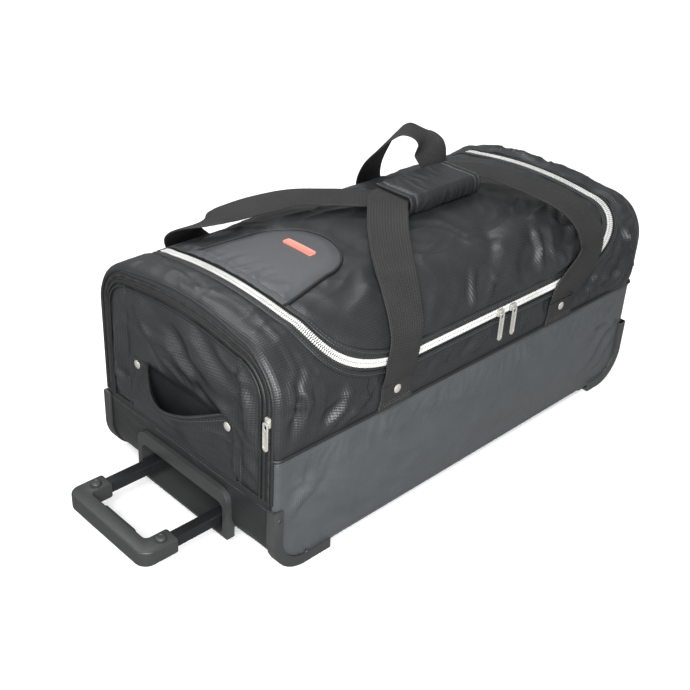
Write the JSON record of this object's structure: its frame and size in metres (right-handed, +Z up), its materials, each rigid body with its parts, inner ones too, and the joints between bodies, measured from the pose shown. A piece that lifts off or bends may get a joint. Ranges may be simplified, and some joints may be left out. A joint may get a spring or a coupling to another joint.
{
  "type": "rolling duffel bag",
  "caption": "Soft rolling duffel bag with zipped lid and end pocket, telescopic trolley handle, corner wheels and webbing carry handles.",
  "frame": {"origin": "under the middle of the bag, on the flat underside of the base tray's middle runner, in the plane that the runners, feet and wheels stand on", "axes": "+X along the bag towards the wheels, with the trolley handle at -X; +Y towards the rear, where the lid is hinged; +Z up"},
  "size_m": [0.777, 0.3369, 0.3594],
  "materials": {
    "fabric": "satin polyester twill, near black",
    "panel": "satin coated polyester, blue grey",
    "coated": "smooth coated fabric, charcoal",
    "pocket": "smooth satin fabric, mid grey",
    "label": "soft moulded, coral",
    "webbing": "ribbed polypropylene webbing, charcoal",
    "plastic": "satin moulded, dark grey",
    "tray": "moulded, black",
    "board": "stiff sheet with a woven lining",
    "tape": "woven zip tape, black, with white moulded teeth on the main zip",
    "metal": "satin nickel",
    "rail": "satin black",
    "steel": "zinc plated",
    "tyre": "matte black",
    "hub": "black"
  },
  "bodies": {
    "bag": {"base_tray": "tray", "base_board": "board", "lower_shell": "panel", "end_base_panel": "coated", "upper_shell": "fabric", "end_pocket_wall": "board", "foot_front": "tyre", "foot_rear": "tyre", "zip_tape_body": "tape", "end_zip_tape": "tape", "strap_tab_left_front": "webbing", "strap_rivet_left_front": "metal", "strap_tab_left_rear": "webbing", "strap_rivet_left_rear": "metal", "strap_tab_right_front": "webbing", "strap_rivet_right_front": "metal", "strap_tab_right_rear": "webbing", "strap_rivet_right_rear": "metal", "trolley_bezel": "plastic", "outer_tube_front": "steel", "outer_tube_rear": "steel", "tube_collar_front": "hub", "tube_collar_rear": "hub", "wheel_housing_front": "plastic", "wheel_housing_rear": "plastic", "corner_guard_front": "plastic", "corner_guard_rear": "plastic", "wheel_axle_front": "steel", "wheel_axle_rear": "steel", "tube_anchor": "tray"},
    "lid": {"lid_panel": "fabric", "zip_tape_lid": "tape", "top_pocket": "pocket", "label": "label"},
    "front_handle": {"front_handle": "webbing", "handle_wrap": "fabric"},
    "rear_handle": {"rear_handle": "webbing"},
    "trolley": {"trolley_grip": "plastic", "inner_tube_front": "rail", "inner_tube_rear": "rail", "tube_glide_front": "hub", "tube_glide_rear": "hub"},
    "trigger": {"grip_trigger": "hub", "release_rod_front": "steel", "release_rod_rear": "steel"},
    "wheel_front": {"tyre_front": "tyre", "wheel_hub_front": "hub"},
    "wheel_rear": {"tyre_rear": "tyre", "wheel_hub_rear": "hub"},
    "slider_left": {"zip_slider_left": "metal"},
    "pull_left": {"zip_pull_left": "metal"},
    "slider_right": {"zip_slider_right": "metal"},
    "pull_right": {"zip_pull_right": "metal"},
    "end_slider": {"end_zip_slider": "metal"},
    "end_pull": {"end_zip_pull": "metal"},
    "end_flap": {"end_flap": "fabric", "end_grab_handle": "fabric", "end_rivet_front": "metal", "end_rivet_rear": "metal"}
  },
  "joints": [
    {"name": "trolley_slide", "type": "slide", "parent": "bag", "child": "trolley", "axis": [-1, 0, 0], "range_m": [-0.103, 0.3]},
    {"name": "trigger_press", "type": "slide", "parent": "trolley", "child": "trigger", "axis": [-1, 0, 0], "range_m": [0, 0.003], "stiffness_N_per_m": 2500, "springref_m": -0.001},
    {"name": "wheel_front_spin", "type": "hinge", "parent": "bag", "child": "wheel_front", "pos_m": [0.296, -0.132, 0.038], "axis": [0, 1, 0], "continuous": true},
    {"name": "wheel_rear_spin", "type": "hinge", "parent": "bag", "child": "wheel_rear", "pos_m": [0.296, 0.132, 0.038], "axis": [0, 1, 0], "continuous": true},
    {"name": "lid_hinge", "type": "hinge", "parent": "bag", "child": "lid", "pos_m": [0, 0.118, 0.277], "axis": [-1, 0, 0], "range_deg": [0, 80]},
    {"name": "front_handle_swing", "type": "hinge", "parent": "bag", "child": "front_handle", "pos_m": [0, -0.1635, 0.187], "axis": [1, 0, 0], "range_deg": [0, 176]},
    {"name": "rear_handle_swing", "type": "hinge", "parent": "bag", "child": "rear_handle", "pos_m": [0, 0.1635, 0.187], "axis": [-1, 0, 0], "range_deg": [0, 180]},
    {"name": "zip_slider_left_slide", "type": "slide", "parent": "bag", "child": "slider_left", "axis": [-1, 0, 0], "range_m": [0, 0.13]},
    {"name": "zip_slider_right_slide", "type": "slide", "parent": "bag", "child": "slider_right", "axis": [1, 0, 0], "range_m": [0, 0.07]},
    {"name": "zip_pull_left_lift", "type": "hinge", "parent": "slider_left", "child": "pull_left", "pos_m": [0.023, -0.1634, 0.213], "axis": [-1, 0, 0], "range_deg": [0, 90]},
    {"name": "zip_pull_right_lift", "type": "hinge", "parent": "slider_right", "child": "pull_right", "pos_m": [0.047, -0.1634, 0.213], "axis": [-1, 0, 0], "range_deg": [0, 90]},
    {"name": "end_slider_slide", "type": "slide", "parent": "bag", "child": "end_slider", "axis": [0, 0, 1], "range_m": [-0.09, 0.012]},
    {"name": "end_pull_lift", "type": "hinge", "parent": "end_slider", "child": "end_pull", "pos_m": [-0.3354, -0.146, 0.203], "axis": [0, 1, 0], "range_deg": [0, 90]},
    {"name": "end_flap_hinge", "type": "hinge", "parent": "bag", "child": "end_flap", "pos_m": [-0.3302, 0, 0.098], "axis": [0, -1, 0], "range_deg": [0, 75]}
  ],
  "couplings": [
    {"joint": "front_handle_swing", "follows": "lid_hinge", "ratio": 2.2},
    {"joint": "rear_handle_swing", "follows": "lid_hinge", "ratio": 2.25}
  ]
}
